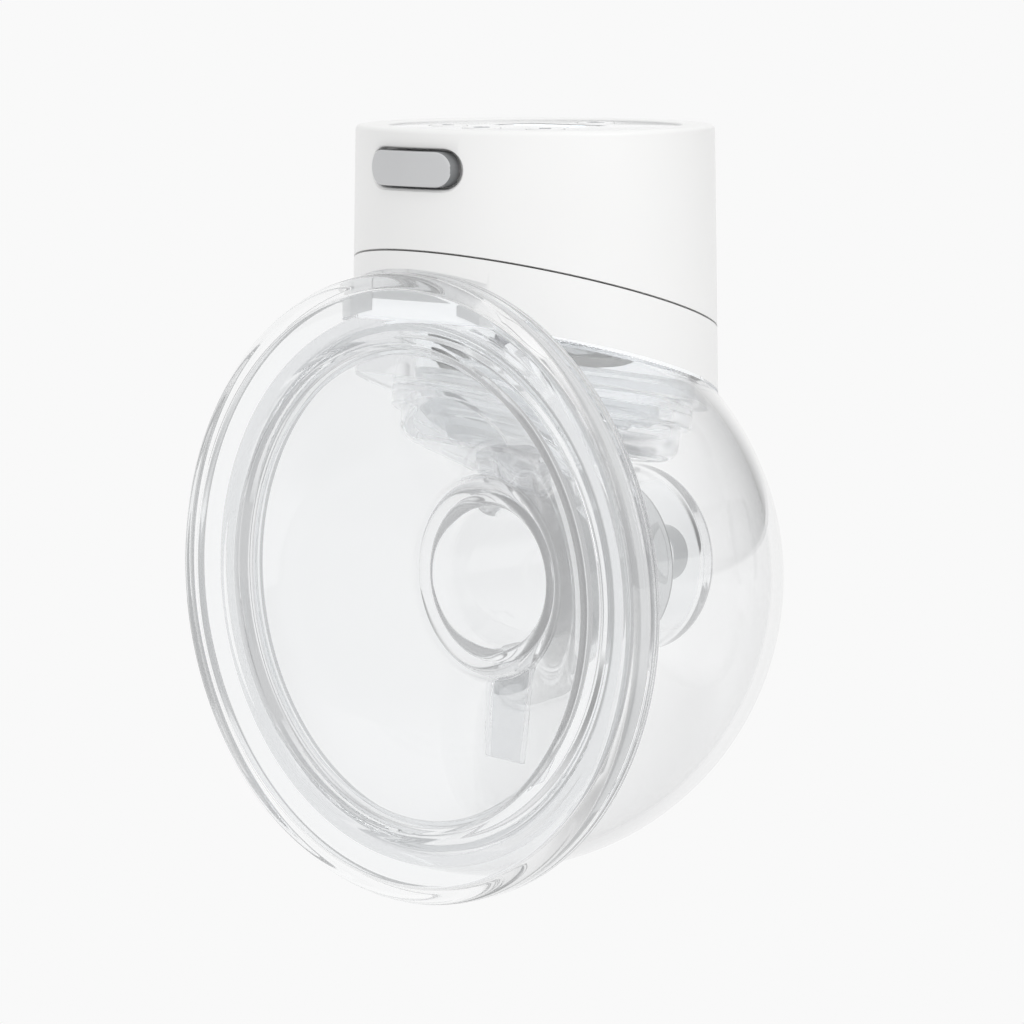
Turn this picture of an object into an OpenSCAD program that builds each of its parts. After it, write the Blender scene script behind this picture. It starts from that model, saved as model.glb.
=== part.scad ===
// Wearable breast pump: clear collector bowl, silicone flange and linker, suction chamber,
// and a round white motor unit standing on the bowl. Frame: origin at the centre of the flange
// rim on its sealing face, +Y away from the wearer, +Z up. Millimetres.

/* [Flange] */
// Outside radius of the flange rim
flange_r = 52; // [46:0.5:56]
// Depth of the rim skirt
skirt_d = 6; // [4:0.5:9]
// Inner edge of the flat sealing face
face_r = 39.9; // [36:0.1:44]
// Radius of the nipple tunnel
tunnel_r = 12; // [10:0.5:15]
// Depth of the tunnel mouth behind the sealing face
mouth_y = 23.9; // [20:0.1:28]
// Thickness of the silicone skin
skin_t = 1.7; // [1.2:0.1:2.4]
// Depth of the sleeve end
sleeve_y = 52; // [40:1:54]

/* [Linker and valve] */
// Wall of the rigid funnel and tunnel
linker_t = 2; // [1.6:0.1:2.6]
// Length of the closed tunnel
tunnel_end = 63; // [58:0.5:66]
// Radius of the riser under the suction chamber
riser_r = 13; // [12:0.5:15.5]
// Centre of the riser along the tunnel
riser_y = 37; // [36:0.5:39]
// Centre of the drain along the tunnel
drain_y = 31.5; // [31:0.5:34]
// Lowest point of the duckbill
bill_z = -35; // [-38:0.5:-30]

/* [Collector bowl] */
// Outside radius of the bowl
bowl_r = 48.7; // [44:0.1:54]
// Wall of the bowl
bowl_t = 2; // [1.6:0.1:3]
// Centre of the bowl behind the sealing face
bowl_y = 22.5; // [18:0.5:26]
// Radius of the neck opening
neck_hole_r = 23.7; // [22:0.1:24]
// Outside radius of the collar inside the bowl
collar_r = 29.5; // [27:0.5:30]

/* [Suction chamber] */
// Lean of the chamber axis
lean = 10.5; // [0:0.5:14]
// Radius of the chamber ring
ring_r = 25.2; // [24:0.1:25.4]
// Radius of the chamber cup
cup_r = 23.4; // [21:0.1:24]
// Depth of the cup under the ring
cup_d = 5.8; // [4:0.1:6]
// Stroke of the membrane
stroke = 3; // [1:0.5:3]

/* [Motor unit] */
// Outside radius of the housing at the seam
unit_r = 30.4; // [28:0.1:32]
// Wall of the housing
unit_t = 2; // [1.6:0.1:2.6]
// Height of the top rim
top_z = 75.26; // [72:0.1:80]
// Slope of the seam
seam_slope = 0.284; // [0:0.01:0.35]
// Height of the seam on the housing axis
seam_z = 47.05; // [44:0.1:52]
// Width of the dark line at the seam
seam_gap = 0.34; // [0.2:0.02:0.6]
// Radius of the inset top panel
panel_r = 24.15; // [20:0.05:25]
// Radius of the round buttons
button_r = 3.1; // [2.5:0.1:4]

/* [Port cover] */
// Length of the cover face
cover_l = 18; // [14:0.5:20]
// Height of the cover face
cover_h = 5.8; // [4:0.1:7]
// How far the cover stands out of the housing
cover_out = 1.1; // [0.5:0.1:3]
// Height of its centre
cover_z = 68.9; // [66:0.1:70]

/* [Hidden] */
FN = 120;
uy = 33.15;                       // housing axis
cy = 35.3; cz = 26.8;             // chamber origin
sa = atan(seam_slope);
g = 0.1;                          // running gap between pieces
us = 0.016/29;                    // housing draft
function ur(z) = unit_r*(1 + us*(seam_z - z));
// funnel line on the wearer's side and its normal
fx0 = face_r; fy0 = 0.6; fx1 = tunnel_r + 5; fy1 = mouth_y - 3.4;
fl = sqrt((fx0-fx1)*(fx0-fx1) + (fy1-fy0)*(fy1-fy0));
nx = (fy1-fy0)/fl; ny = (fx0-fx1)/fl;
function fr(t,y) = fx0 + nx*t - (y - fy0 - ny*t)*(fx0-fx1)/(fy1-fy0); // radius of an offset funnel line at depth y
s1 = skin_t; s2 = skin_t + g; s3 = s2 + linker_t;
tb = tunnel_r + 2.1;              // sleeve outside
ti = tb + g; to = ti + linker_t + 0.2;
plate_y = 2.1; plate_b = 5.8;
plane_a = 36.2;                   // top of the bowl mouth
module revY(p, fn=FN) rotate([-90,0,0]) rotate_extrude($fn=fn) polygon(p);
module ch() translate([0,cy,cz]) rotate([-lean,0,0]) children();
module un() translate([0,uy,0]) children();
module above(h) translate([0,uy,h]) rotate([-sa,0,0]) translate([-60,-80,0]) cube([120,160,90]);
module below(h) translate([0,uy,h]) rotate([-sa,0,0]) translate([-60,-80,-90]) cube([120,160,90]);
module ball(r) translate([0,bowl_y,0]) sphere(r=r, $fn=FN);
function arc(cx,cyy,r,a0,a1,n) = [for(i=[0:n]) [cx + r*cos(a0+(a1-a0)*i/n), cyy + r*sin(a0+(a1-a0)*i/n)]];

// ---- flange body
module flange() color([0.93,0.95,0.96,0.6])
  revY(concat(
    [[flange_r-2.55, skirt_d],[flange_r-2.55, plate_y],[fr(s1,plate_y), plate_y],
     [fx1+nx*s1, fy1+ny*s1],[tb+2.9, mouth_y+0.1],[tb+1.1, mouth_y+2.3],[tb, mouth_y+3.3],
     [tb, sleeve_y-0.8],[tb-0.5, sleeve_y],[tunnel_r+0.5, sleeve_y],[tunnel_r, sleeve_y-0.5]],
    arc(tunnel_r+2.45, mouth_y, 2.45, 180, 330, 10),
    [[fx1-0.05, mouth_y-1.6],[fx1+0.05, mouth_y-2.7],[fx1+0.3, fy1-0.1],[fx1+0.9, fy0+(fx0-fx1-0.9)*(fy1-fy0)/(fx0-fx1)],
     [fx0-0.4, fy0+0.4*(fy1-fy0)/(fx0-fx1)],[fx0+0.1, 0.52],[fx0+0.6, 0.2],[fx0+1.4, 0]],
    arc(flange_r-2, 2, 2, -90, 0, 6),
    [[flange_r, skirt_d-0.8],[flange_r-0.25, skirt_d-0.25],[flange_r-0.8, skirt_d]]));

// ---- linker body
module linker_void() revY(concat(
    [[0,1],[fr(s2,1),1],[fx1+nx*s2, fy1+ny*s2],[ti+2.9, mouth_y+0.2],[ti+1.1, mouth_y+2.4],[ti, mouth_y+3.4]],
    arc(ti-3.2, tunnel_end-5.2, 3.2, 0, 90, 6), [[0, tunnel_end-2]]));
module linker() color([0.90,0.93,0.95,0.45]) difference() {
  union() {
    revY(concat(
      [[0,plate_y+g],[flange_r-2.7,plate_y+g],[flange_r-2.7,plate_b],[43.4,plate_b],[43.4,7.0],[42.35,7.0],[42.35,8.6],[43.4,8.6],
       [43.4,9.1],[43.0,9.5],[41.4,9.5],[41.4,plate_b],[fr(s3,plate_b),plate_b],[fx1+nx*s3, fy1+ny*s3],[to+0.5, mouth_y+2.1],[to, mouth_y+3.3]],
      arc(to-3.6, tunnel_end-3.6, 3.6, 0, 75, 7),
      [[5, tunnel_end+0.25],[5, tunnel_end+4.2],[4.4, tunnel_end+4.8],[0, tunnel_end+4.8]]));
    translate([0,riser_y,2]) cylinder(r=riser_r, h=15, $fn=FN);
    translate([0,drain_y,-22.5]) cylinder(r=4.4, h=9.5, $fn=48);
  }
  linker_void();
  translate([0,riser_y,5]) cylinder(r=5.5, h=20, $fn=48);
  translate([-2.5,riser_y,0]) cube([5,20,ti+1.1]);
  translate([0,drain_y,-23]) cylinder(r=3.2, h=13, $fn=48);
  translate([-3,drain_y,-(ti+1.1)]) cube([6,26,8]);
}
module collector_seal() color([0.85,0.88,0.90])
  revY([[42.45,7.1],[43.3,7.1],[43.6,7.4],[43.6,8.2],[43.3,8.5],[42.45,8.5]]);
module riser_gasket() color([0.85,0.88,0.90]) translate([0,riser_y,17.05]) difference() {
  union() { cylinder(r=10.2, h=0.5, $fn=FN); cylinder(r=9.6, h=0.85, $fn=FN); }
  translate([0,0,-1]) cylinder(r=7.5, h=3, $fn=FN);
}
module duckbill_valve() color([0.88,0.91,0.93]) translate([0,drain_y,0]) difference() {
  union() {
    translate([0,0,-23.6]) cylinder(r=6, h=5.3, $fn=48);
    translate([0,0,-19.6]) cylinder(r=6.6, h=1.3, $fn=48);
    hull() { translate([0,0,-23.6]) cylinder(r=5.9, h=0.4, $fn=32); translate([-6,-0.9,bill_z]) cube([12,1.8,0.6]); }
  }
  translate([0,0,-23.2]) cylinder(r=4.5, h=8, $fn=48);
  hull() { translate([0,0,-23.3]) cylinder(r=4.3, h=0.2, $fn=32); translate([-4.6,-0.25,bill_z+1.4]) cube([9.2,0.5,0.2]); }
  translate([-4.4,-0.1,bill_z-1]) cube([8.8,0.2,4]);
}

// ---- collector body
module collector_bowl() color([0.92,0.95,0.97,0.4]) difference() {
  union() {
    difference() { ball(bowl_r); ball(bowl_r-bowl_t); }
    revY([[44,4],[44,9.5],[45.9,12],[46.3,12],[45.2,4]]);
    intersection() {
      ball(bowl_r-0.3);
      difference() {
        un() translate([0,0,20]) cylinder(r=collar_r, h=30, $fn=FN);
        ch() translate([-60,-60,-60]) cube([120,120,64.15]);
        revY([[0,-1],[44.6,-1],[44.6,9.8],[0,9.8]]);
      }
    }
  }
  translate([-60,-60,-60]) cube([120,66,120]);
  above(plane_a);
  ch() translate([0,0,-2]) cylinder(r=neck_hole_r, h=40, $fn=FN);
}
// keeps a body clear of the back of the funnel by t - s3
module relief(t) revY([[0,-5],[fr(t,-5),-5],[fx1+nx*t,fy1+ny*t],[fx1+nx*t-2.75,fy1+ny*t+3.63],[0,fy1+ny*t+3.63]]);
module pump_chamber() color([0.88,0.92,0.95,0.5]) difference() {
  union() {
    ch() rotate_extrude($fn=FN) polygon(concat(
      [[0,-cup_d]], arc(cup_r-4.5, -cup_d+4.5, 4.5, -90, 0, 7),
      [[cup_r,0],[ring_r-0.4,0],[ring_r,0.4],[ring_r,3.6],[ring_r-0.4,4],[21.8,4],[21.8,5.7],[21.5,6],[0,6]]));
    translate([0,riser_y,18]) cylinder(r=10.9, h=7, $fn=FN);
  }
  relief(s3+0.4);
  difference() {
    ch() rotate_extrude($fn=FN) polygon(concat(
      [[0,-cup_d+1.6]], arc(cup_r-4.5, -cup_d+4.5, 2.9, -90, 0, 6), [[cup_r-1.6,2.6],[20.2,3.6],[20.2,7],[0,7]]));
    relief(s3+2);
  }
  translate([0,riser_y,16]) cylinder(r=5.5, h=12, $fn=48);
}

// ---- diaphragm
module diaphragm() color([0.86,0.90,0.93]) ch() rotate_extrude($fn=FN)
  polygon([[18.2,1.5],[19.6,1.5],[19.6,6.1],[21.95,6.1],[21.95,4.4],[23.4,4.4],[23.4,7.0],[23.2,7.2],[18.2,7.2]]);
module membrane() color([0.84,0.88,0.91]) ch() rotate_extrude($fn=FN)
  polygon([[0,-2.6],[14.4,-2.6],[14.8,-2.2],[14.8,-1],[13.6,-1],[13.6,-1.4],[0,-1.4]]);

// ---- housing
module unit_outer() un() rotate_extrude($fn=FN) polygon(concat(
  [[0,20],[ur(20),20],[ur(top_z-0.8),top_z-0.8]], arc(ur(top_z)-0.8, top_z-0.8, 0.8, 15, 90, 5), [[0,top_z]]));
module rim_relief() translate([0,6.4,0]) rotate([90,0,0]) cylinder(r=flange_r+0.6, h=20, $fn=FN);
bx = [0, -11, 11, 0]; by = [-13, -9.5, -9.5, 15];      // power, minus, plus, mode
wx = 17; wy = 9.5; wc = 3.5;                            // window
pa = [45, 135, 250];
module at_pcb() for(a=pa) un() translate([21*cos(a),21*sin(a),0]) children();
post_a = [30, 150, 232, 308];
function post_z(a) = 36.7 - seam_slope*25.9*sin(a);     // under side of the base plate at a post
module at_post() for(a=post_a) un() translate([25.9*cos(a),25.9*sin(a),0]) children();
module slot(l,h,y0,y1) translate([0,y0,cover_z]) rotate([-90,0,0]) linear_extrude(y1-y0) union() {
  square([l-h,h],center=true); translate([(l-h)/2,0]) circle(d=h,$fn=48); translate([-(l-h)/2,0]) circle(d=h,$fn=48); }
hx = -cover_l/2-0.1; hy = 5.3;                          // cover pivot
module upper_housing() color([0.97,0.97,0.96]) difference() {
  union() {
    difference() {
      unit_outer();
      un() translate([0,0,10]) cylinder(r=ur(seam_z)-unit_t, h=62.4, $fn=FN);
    }
    intersection() { unit_outer(); translate([-12.5,2,64]) cube([25,5.4,9]); }
  }
  below(seam_z+seam_gap/2);
  un() translate([0,0,top_z-1.06]) cylinder(r=panel_r+0.25, h=5, $fn=FN);
  slot(cover_l+2, cover_h+0.7, -6, 6.2);
  slot(9.6, 3.8, 5, 9);
  translate([hx,hy,cover_z-3.3]) cylinder(r=0.4, h=6.6, $fn=24);
  for(i=[0:3]) un() translate([bx[i],by[i],70]) cylinder(r=button_r+0.3, h=8, $fn=48);
  un() translate([-9.7,wc-6.2,70]) cube([19.4,12.4,8]);
  at_pcb() translate([0,0,70]) cylinder(r=0.75, h=3.7, $fn=24);
}
module lower_housing() color([0.96,0.96,0.95]) difference() {
  union() {
    difference() {
      unit_outer();
      above(seam_z-seam_gap/2);
      un() translate([0,0,10]) cylinder(r=28.4, h=70, $fn=FN);
    }
    difference() {
      un() translate([0,0,30]) cylinder(r=28.2, h=30, $fn=FN);
      un() translate([0,0,20]) cylinder(r=27, h=50, $fn=FN);
      above(seam_z+2.2);
      below(seam_z-3);
    }
    difference() {
      un() translate([0,0,30]) cylinder(r=28.9, h=30, $fn=FN);
      un() translate([0,0,20]) cylinder(r=27, h=50, $fn=FN);
      above(seam_z-0.8);
      below(seam_z-3);
    }
    difference() {                // wall closing the front behind the flange rim
      intersection() {
        un() translate([0,0,30]) cylinder(r=28.9, h=30, $fn=FN);
        translate([-22,6.5,40]) cube([44,1.6,20]);
      }
      below(39.7);
      above(seam_z-1);
    }
    difference() {
      at_post() translate([0,0,30]) cylinder(r=2.9, h=30, $fn=32);
      below(39.7);
      above(seam_z-1);
    }
  }
  ball(bowl_r+0.3);
  rim_relief();
  at_post() translate([0,0,20]) cylinder(r=1.25, h=40, $fn=24);
}
module base_plate() color([0.90,0.90,0.89]) difference() {
  union() {
    intersection() {
      un() translate([0,0,20]) cylinder(r=28.2, h=40, $fn=FN);
      above(36.7);
      below(39.6);
    }
    difference() {
      ch() translate([0,0,7.3]) cylinder(r=23.4, h=10, $fn=FN);
      above(38);
    }
    translate([-12,46.1,34]) cylinder(r=1.4, h=8.5, $fn=24);
  }
  ch() translate([0,0,-5]) cylinder(r=23.9, h=12.3, $fn=FN);
  ball(bowl_r-bowl_t-3);
  translate([-12,46.1,20]) cylinder(r=0.7, h=30, $fn=24);
  rim_relief();
  for(a=post_a) un() translate([25.9*cos(a),25.9*sin(a),20]) { cylinder(r=1.35, h=40, $fn=24); cylinder(r=2.35, h=post_z(a)+1.4-20, $fn=32); }
}
module housing_screws() color([0.7,0.7,0.72]) for(a=post_a) un() translate([25.9*cos(a),25.9*sin(a),post_z(a)+0.3]) difference() {
  union() { cylinder(r=2.1, h=1, $fn=32); cylinder(r=1.15, h=6.5, $fn=24); }
  for(k=[0,90]) rotate([0,0,k]) translate([-1.3,-0.25,-1]) cube([2.6,0.5,1.6]);
}

// ---- top
module top_panel() color([0.86,0.87,0.88]) un() difference() {
  translate([0,0,top_z-1.01]) cylinder(r=panel_r, h=0.7, $fn=FN);
  for(i=[0:3]) translate([bx[i],by[i],70]) cylinder(r=button_r+0.25, h=8, $fn=48);
  translate([-wx/2-0.15,wc-wy/2-0.15,70]) cube([wx+0.3,wy+0.3,8]);
}
module display_window() color([0.2,0.22,0.25]) un() translate([-wx/2,wc-wy/2,top_z-0.96]) cube([wx,wy,0.6]);
module display_module() color([0.1,0.1,0.12]) un() translate([-9.3,wc-5.8,71.9]) cube([18.6,11.6,2.3]);
module btn(i) color([0.95,0.95,0.95]) un() translate([bx[i],by[i],0]) union() {
  translate([0,0,73.6]) cylinder(r=button_r, h=1.55, $fn=48);
  translate([0,0,72.75]) cylinder(r=1.1, h=1.2, $fn=24); }
module power_button() btn(0);
module minus_button() btn(1);
module plus_button() btn(2);
module mode_button() btn(3);
module main_pcb() color([0.1,0.35,0.2]) difference() {
  union() {
    un() translate([0,0,70.6]) cylinder(r=24.8, h=1.2, $fn=FN);
    un() translate([-5,19.5,69.5]) cube([10,3.4,1.2]);
    un() translate([15,-17.6,69.7]) cube([3,3,1]);
    un() translate([-19,-17,69.5]) cube([5,3,1.2]);
  }
  at_pcb() translate([0,0,69]) cylinder(r=0.95, h=5, $fn=24);
}
module pcb_screws() color([0.7,0.7,0.72]) at_pcb() union() {
  translate([0,0,69.8]) cylinder(r=1.6, h=0.75, $fn=24);
  translate([0,0,70]) cylinder(r=0.7, h=3.4, $fn=24); }
module dome_switches() color([0.8,0.8,0.8]) for(i=[0:3]) un() translate([bx[i],by[i],71.85]) cylinder(r=2.1, h=0.25, $fn=32);
module usb_port() color([0.75,0.75,0.77]) difference() {
  union() { slot(9, 3.2, 6.5, 14.5); translate([-4,8.5,cover_z+0.2]) cube([8,5.8,1.4]); }
  difference() { slot(8.4, 2.6, 6, 13.8); translate([-3.2,7.2,cover_z-0.35]) cube([6.4,8,0.7]); }
}
module port_cover() color([0.82,0.83,0.84]) union() {
  difference() {
    intersection() { slot(cover_l, cover_h, 0, 5.7);
      un() translate([0,0,60]) cylinder(r=30+cover_out, h=20, $fn=FN); }
    slot(10, 3.6, 4.6, 6);
  }
  translate([hx,hy,cover_z-1.2]) cylinder(r=0.5, h=2.4, $fn=24);
  translate([hx,hy,cover_z-3.2]) cylinder(r=0.33, h=6.4, $fn=24);
}

// ---- inside
module battery() color([0.75,0.78,0.82]) un() union() {
  translate([-20,-16.5,62.8]) cube([40,33,6.4]);
  translate([-6,16.4,65]) cube([12,2,3]); }
module battery_foam() color([0.3,0.3,0.3]) un() translate([-12,-12,69.3]) cube([24,22,0.9]);
mz = 52.5; my = 30;
module pump_motor() color([0.72,0.73,0.75]) translate([0,my,mz]) rotate([0,90,0]) difference() {
  union() { translate([0,0,-0.8]) cylinder(r=10, h=22.3, $fn=64); translate([0,0,-1.6]) cylinder(r=3, h=1, $fn=32);
            translate([0,0,21.4]) cylinder(r=2.4, h=1.4, $fn=32); }
  translate([0,0,-5]) cylinder(r=1.05, h=20, $fn=24);
}
module motor_shaft() color([0.6,0.6,0.62]) translate([-7,my,mz]) rotate([0,90,0]) cylinder(r=0.95, h=20.5, $fn=24);
module eccentric() color([0.95,0.95,0.9]) translate([-9.4,my,mz]) rotate([0,90,0]) difference() {
  union() { translate([0,0,1.6]) cylinder(r=4.5, h=3.6, $fn=40); translate([0.5,0,-2.2]) cylinder(r=1, h=4.2, $fn=24); }
  translate([0,0,2.3]) cylinder(r=1, h=8, $fn=24); }
module pump_head() color([0.25,0.25,0.27]) difference() {
  union() { translate([-21.5,20.8,44]) cube([19.6,18.4,17.6]);
    translate([-12,39,47]) rotate([-90,0,0]) cylinder(r=1.4, h=3.2, $fn=24); }
  translate([-20,22.4,45.6]) cube([16.6,15.2,14.4]);
  translate([-6,my,mz]) rotate([0,90,0]) cylinder(r=3.2, h=10, $fn=40);
  translate([-15,10,mz]) rotate([-90,0,0]) cylinder(r=1.1, h=40, $fn=24);
  translate([-12,30,47]) rotate([-90,0,0]) cylinder(r=0.7, h=20, $fn=24);
}
module pump_rocker() color([0.93,0.93,0.9]) union() {
  translate([-16,my-3,mz-6.6]) cube([2,6,13.2]);
  translate([-14.1,my-2,mz+2.2]) cube([4,4,1.5]);
  translate([-14.1,my-2,mz-3.7]) cube([4,4,1.5]);
  translate([-15,my-9.1,mz]) rotate([-90,0,0]) cylinder(r=0.98, h=18.2, $fn=24);
}
module pump_cups() color([0.3,0.3,0.3]) for(s=[-1,1]) translate([-19.8,my,mz+s*4]) rotate([0,90,0]) union() {
  cylinder(r=2.7, h=1.4, $fn=32); cylinder(r1=2.4, r2=1.6, h=3.1, $fn=32); }
module air_tube() color([0.9,0.92,0.93]) translate([-12,0,0]) difference() {
  union() {
    translate([0,39.6,47]) rotate([-90,0,0]) cylinder(r=2.5, h=2.5, $fn=32);
    translate([0,42.1,43]) rotate([0,90,0]) rotate([0,0,90]) rotate_extrude(angle=90,$fn=FN) translate([4,0]) circle(r=2.5,$fn=32);
    translate([0,46.1,37.3]) cylinder(r=2.5, h=5.7, $fn=32);
  }
  translate([0,39,47]) rotate([-90,0,0]) cylinder(r=1.6, h=3.1, $fn=32);
  translate([0,42.1,43]) rotate([0,90,0]) rotate([0,0,90]) rotate_extrude(angle=90,$fn=FN) translate([4,0]) circle(r=1.6,$fn=32);
  translate([0,46.1,37]) cylinder(r=1.6, h=6, $fn=32);
}
module motor_bracket() color([0.85,0.85,0.84]) difference() {
  translate([2,19,38]) cube([17,22,12]);
  below(39.7);
  translate([0,my,mz]) rotate([0,90,0]) cylinder(r=10.1, h=60, $fn=64);
  translate([5,10,30]) cube([11,40,14.2]);
}
module release_valve() color([0.3,0.3,0.33]) difference() {
  translate([6,42.5,40]) cube([9,9,12]);
  translate([10.5,47,46]) cylinder(r=1.6, h=8, $fn=24); }
module valve_plunger() color([0.7,0.7,0.72]) translate([10.5,47,0]) union() {
  translate([0,0,47.6]) cylinder(r=1.5, h=8, $fn=24); translate([0,0,54.4]) cylinder(r=3.2, h=1, $fn=32); }
module valve_spring() color([0.6,0.6,0.62]) translate([10.5,47,52.1]) difference() {
  cylinder(r=2.7, h=2.2, $fn=32); translate([0,0,-1]) cylinder(r=1.7, h=5, $fn=32); }

collector_bowl();
pump_chamber();
linker();
collector_seal();
riser_gasket();
flange();
duckbill_valve();
diaphragm();
membrane();
upper_housing();
lower_housing();
base_plate();
housing_screws();
top_panel();
display_window();
display_module();
power_button();
minus_button();
plus_button();
mode_button();
main_pcb();
pcb_screws();
dome_switches();
usb_port();
port_cover();
battery();
battery_foam();
pump_motor();
motor_shaft();
eccentric();
pump_head();
pump_rocker();
pump_cups();
air_tube();
motor_bracket();
release_valve();
valve_plunger();
valve_spring();
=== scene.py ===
import bpy, bmesh, math
from mathutils import Vector, Matrix


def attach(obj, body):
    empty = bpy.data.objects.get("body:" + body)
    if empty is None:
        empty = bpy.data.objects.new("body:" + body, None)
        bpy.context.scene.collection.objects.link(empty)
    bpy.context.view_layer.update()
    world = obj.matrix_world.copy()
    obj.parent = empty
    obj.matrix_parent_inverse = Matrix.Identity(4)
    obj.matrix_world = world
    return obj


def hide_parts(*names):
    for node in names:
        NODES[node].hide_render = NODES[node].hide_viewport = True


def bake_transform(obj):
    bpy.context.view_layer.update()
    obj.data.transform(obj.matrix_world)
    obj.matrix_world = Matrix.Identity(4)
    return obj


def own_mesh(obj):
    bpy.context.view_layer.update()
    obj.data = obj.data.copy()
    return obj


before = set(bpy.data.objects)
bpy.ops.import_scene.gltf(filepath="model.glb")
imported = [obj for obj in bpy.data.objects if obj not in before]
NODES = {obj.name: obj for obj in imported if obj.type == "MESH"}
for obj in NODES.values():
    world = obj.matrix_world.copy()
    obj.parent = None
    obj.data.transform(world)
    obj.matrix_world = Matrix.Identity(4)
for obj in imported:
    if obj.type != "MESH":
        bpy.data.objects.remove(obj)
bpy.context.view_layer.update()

MM = 0.001
UY, CY, CZ, LEAN = 33.15, 35.3, 26.8, math.radians(10.5)
SLOPE = 0.284; SA = math.atan(SLOPE); SEAM = 47.05
def UR(z): return 30.4 * (1 + 0.016 / 29 * (SEAM - z))

# ---------------------------------------------------------------- mesh helpers
def fillet(pts, closed=True, n=6):
    """pts: (r, y) or (r, y, radius). Rounds each corner that states a radius."""
    out = []; N = len(pts)
    for i, p in enumerate(pts):
        rad = p[2] if len(p) > 2 else 0
        if rad <= 0 or (not closed and i in (0, N - 1)):
            out.append((p[0], p[1])); continue
        a = Vector(pts[i - 1][:2]); b = Vector(p[:2]); c = Vector(pts[(i + 1) % N][:2])
        u, v = (a - b), (c - b)
        lu, lv = u.length, v.length
        u.normalize(); v.normalize()
        ang = math.acos(max(-1, min(1, u.dot(v))))
        if ang > math.pi - 0.01:
            out.append((b.x, b.y)); continue
        t = min(rad / math.tan(ang / 2), lu * 0.49, lv * 0.49)
        r = t * math.tan(ang / 2)
        m = (u + v).normalized(); cen = b + m * (r / math.sin(ang / 2))
        s, e = b + u * t, b + v * t
        a0 = math.atan2(s.y - cen.y, s.x - cen.x); a1 = math.atan2(e.y - cen.y, e.x - cen.x)
        d = (a1 - a0 + math.pi) % (2 * math.pi) - math.pi
        for k in range(n + 1):
            w = a0 + d * k / n
            out.append((cen.x + r * math.cos(w), cen.y + r * math.sin(w)))
    return out

def P_Y(r, y, c, s): return Vector((r * c, y, r * s))
def P_Z(r, z, c, s): return Vector((r * c, UY + r * s, z))
def P_B(r, z, c, s): return Vector((r * c, r * s, z))
ROT_C = Matrix.Rotation(-LEAN, 3, 'X')
def P_C(r, z, c, s): return ROT_C @ Vector((r * c, r * s, z)) + Vector((0, CY, CZ))

def obj_from(name, verts, faces):
    me = bpy.data.meshes.new(name)
    me.from_pydata([tuple(v) for v in verts], [], faces)
    bm = bmesh.new(); bm.from_mesh(me)
    bmesh.ops.remove_doubles(bm, verts=bm.verts, dist=1e-7)
    bmesh.ops.recalc_face_normals(bm, faces=bm.faces)
    bm.to_mesh(me); bm.free()
    o = bpy.data.objects.new(name, me)
    bpy.context.scene.collection.objects.link(o)
    return o

def lathe(name, prof, P=P_Y, seg=192, closed=True, at=(0, 0, 0)):
    at = Vector(at) * MM
    verts, faces, idx = [], [], []
    for (r, y) in prof:
        if r < 1e-6:
            idx.append([len(verts)] * seg); verts.append(P(0, y, 1, 0) * MM + at); continue
        row = []
        for i in range(seg):
            a = 2 * math.pi * i / seg
            row.append(len(verts)); verts.append(P(r, y, math.cos(a), math.sin(a)) * MM + at)
        idx.append(row)
    n = len(prof)
    for k in range(n if closed else n - 1):
        A, B = idx[k], idx[(k + 1) % n]
        for i in range(seg):
            j = (i + 1) % seg
            f = []
            for v in (A[i], A[j], B[j], B[i]):
                if v not in f: f.append(v)
            if len(f) > 2: faces.append(f)
    return obj_from(name, verts, faces)

def cyl(name, r, z0, z1, x=0, y=0, seg=64, chamf=0.0, P=P_B):
    c = min(chamf, r * 0.5)
    if c > 0: prof = fillet([(0, z0), (r, z0, c), (r, z1, c), (0, z1)], False, 4)
    else: prof = [(0, z0), (r, z0), (r, z1), (0, z1)]
    return lathe(name, prof, P, seg, False, (x, y, 0))

def box(name, x0, y0, z0, x1, y1, z1, M=None):
    v = [Vector((x, y, z)) for x in (x0, x1) for y in (y0, y1) for z in (z0, z1)]
    if M is not None: v = [M @ p for p in v]
    f = [(0, 1, 3, 2), (4, 6, 7, 5), (0, 4, 5, 1), (2, 3, 7, 6), (0, 2, 6, 4), (1, 5, 7, 3)]
    return obj_from(name, [p * MM for p in v], f)

def rot_x_obj(o, ang, pivot):
    p = Vector(pivot) * MM
    o.data.transform(Matrix.Translation(p) @ Matrix.Rotation(ang, 4, 'X') @ Matrix.Translation(-p)); return o
def rotm(o, ang, axis):
    o.data.transform(Matrix.Rotation(ang, 4, axis)); return o
def shift(o, x, y, z):
    o.data.transform(Matrix.Translation(Vector((x, y, z)) * MM)); return o

def half(h, up=True):
    """A big block above (or below) the leaning plane that crosses the housing axis at height h."""
    o = box("cut", -90, -90, 0 if up else -120, 90, 90, 120 if up else 0)
    o.data.transform(Matrix.Translation(Vector((0, UY, h)) * MM) @ Matrix.Rotation(-SA, 4, 'X')); return o

def boo(a, b, op='DIFFERENCE', keep=False):
    m = a.modifiers.new('b', 'BOOLEAN'); m.object = b; m.operation = op; m.solver = 'EXACT'
    bpy.context.view_layer.update()
    dg = bpy.context.evaluated_depsgraph_get()
    me = bpy.data.meshes.new_from_object(a.evaluated_get(dg))
    a.modifiers.clear(); old = a.data; a.data = me; bpy.data.meshes.remove(old)
    if not keep:
        d = b.data; bpy.data.objects.remove(b); bpy.data.meshes.remove(d)
    return a

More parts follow.
